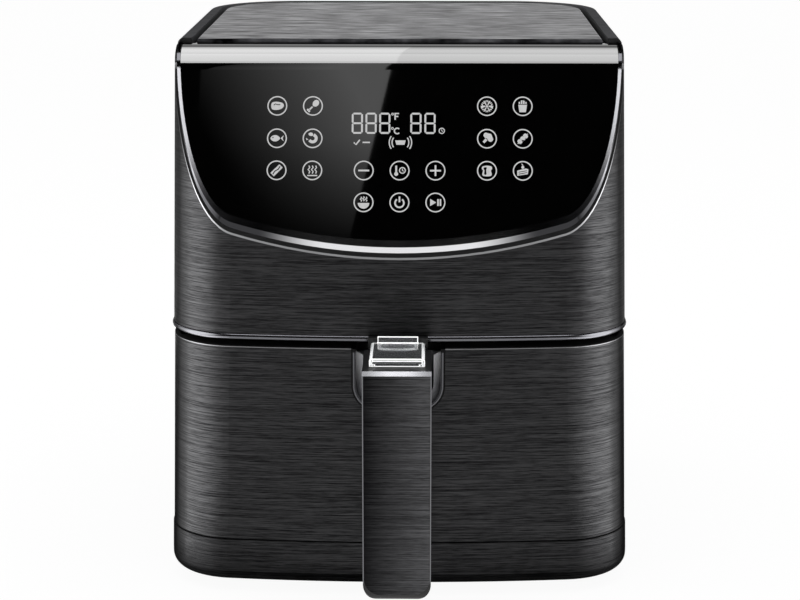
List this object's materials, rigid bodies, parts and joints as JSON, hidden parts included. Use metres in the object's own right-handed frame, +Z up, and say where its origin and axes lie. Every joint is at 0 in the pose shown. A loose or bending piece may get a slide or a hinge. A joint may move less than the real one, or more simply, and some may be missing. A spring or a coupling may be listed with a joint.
{
  "type": "air fryer",
  "caption": "Countertop air fryer with a slanted touch panel, a waist line and a pull-out pan and basket with a handle, guarded release button, heating coil and convection fan.",
  "frame": {"origin": "on the surface that it stands on, under the middle of its bounding box", "axes": "+Z up, the drawer opens towards -Y and the mains lead leaves towards +Y, +X to the right seen from the front"},
  "size_m": [0.275, 0.36, 0.3216],
  "materials": {
    "brushed_black": "black housing with fine level brushed lines, satin",
    "black_plastic": "black moulded plastic, fine matt texture",
    "recess_satin": "grey satin paint on moulded plastic",
    "dark_chrome": "smoked bright plating",
    "chrome": "bright plating",
    "panel_gloss": "piano black, mirror smooth",
    "display_black": "dark display module",
    "circuit_board": "solder-masked board",
    "black_rubber": "matt",
    "clear_plastic": "clear moulded plastic",
    "button_gloss": "satin black",
    "switch_white": "matt",
    "nonstick": "dark non-stick coating",
    "zinc_steel": "zinc plated",
    "aluminised_steel": "aluminised sheet",
    "bright_steel": "ground",
    "heater_sheath": "dull oxidised tube",
    "lamination": "stacked sheet",
    "copper_winding": "enamelled copper wire"
  },
  "bodies": {
    "housing": {"base_screws": "zinc_steel", "base_shell": "brushed_black", "board_tray": "black_plastic", "bottom_plate": "black_plastic", "coil_brackets": "zinc_steel", "control_board": "circuit_board", "cord_gland": "black_rubber", "display_module": "display_black", "drawer_switch": "black_plastic", "exhaust_duct": "aluminised_steel", "foot_front_left": "black_rubber", "foot_front_right": "black_rubber", "foot_rear_left": "black_rubber", "foot_rear_right": "black_rubber", "heater_guard": "bright_steel", "heater_hood": "aluminised_steel", "heating_coil": "heater_sheath", "lower_bearing": "bright_steel", "mid_frame": "black_plastic", "motor_bracket": "zinc_steel", "motor_bridge": "zinc_steel", "motor_stator": "lamination", "motor_winding": "copper_winding", "panel_carrier": "black_plastic", "panel_trim": "chrome", "power_board": "circuit_board", "rear_vent": "black_plastic", "temperature_probe": "bright_steel", "top_plate": "brushed_black", "touch_panel": "panel_gloss", "upper_bearing": "bright_steel", "upper_shell": "brushed_black", "waist_trim": "dark_chrome"},
    "drawer": {"drawer_front": "brushed_black", "drawer_liner": "black_plastic", "handle_recess": "recess_satin", "outer_pan": "nonstick", "strike_plate": "zinc_steel", "inner_basket": "nonstick", "basket_floor": "nonstick", "basket_bumpers": "black_rubber", "handle_bracket": "zinc_steel", "handle_body": "black_plastic", "handle_bezel": "chrome", "handle_front": "brushed_black", "handle_screws": "zinc_steel", "latch_pin": "zinc_steel", "latch_spring": "zinc_steel"},
    "guard": {"button_guard": "clear_plastic"},
    "button": {"release_button": "button_gloss"},
    "latch": {"latch_lever": "zinc_steel"},
    "rotor": {"motor_shaft": "bright_steel", "motor_rotor": "lamination", "convection_fan": "aluminised_steel", "cooling_fan": "black_plastic", "fan_nut": "zinc_steel"},
    "plunger": {"switch_plunger": "switch_white"}
  },
  "joints": [
    {"name": "drawer_slide", "type": "slide", "parent": "housing", "child": "drawer", "axis": [0, -1, 0], "range_m": [0, 0.29]},
    {"name": "guard_slide", "type": "slide", "parent": "drawer", "child": "guard", "axis": [0, -1, 0], "range_m": [0, 0.018]},
    {"name": "button_press", "type": "slide", "parent": "drawer", "child": "button", "axis": [0, 0, -1], "range_m": [0, 0.0035], "stiffness_N_per_m": 600, "springref_m": -0.003, "deforming": ["latch_spring"]},
    {"name": "latch_turn", "type": "hinge", "parent": "drawer", "child": "latch", "pos_m": [0, -0.0864, 0.1313], "axis": [1, 0, 0], "range_deg": [0, 4]},
    {"name": "fan_spin", "type": "hinge", "parent": "housing", "child": "rotor", "pos_m": [0, 0.0322, 0.2], "axis": [0, 0, 1], "continuous": true},
    {"name": "switch_press", "type": "slide", "parent": "housing", "child": "plunger", "axis": [0, 1, 0], "range_m": [0, 0.0015], "stiffness_N_per_m": 500, "springref_m": -0.001}
  ],
  "couplings": [
    {"joint": "latch_turn", "follows": "button_press", "rad_per_m": 19}
  ]
}
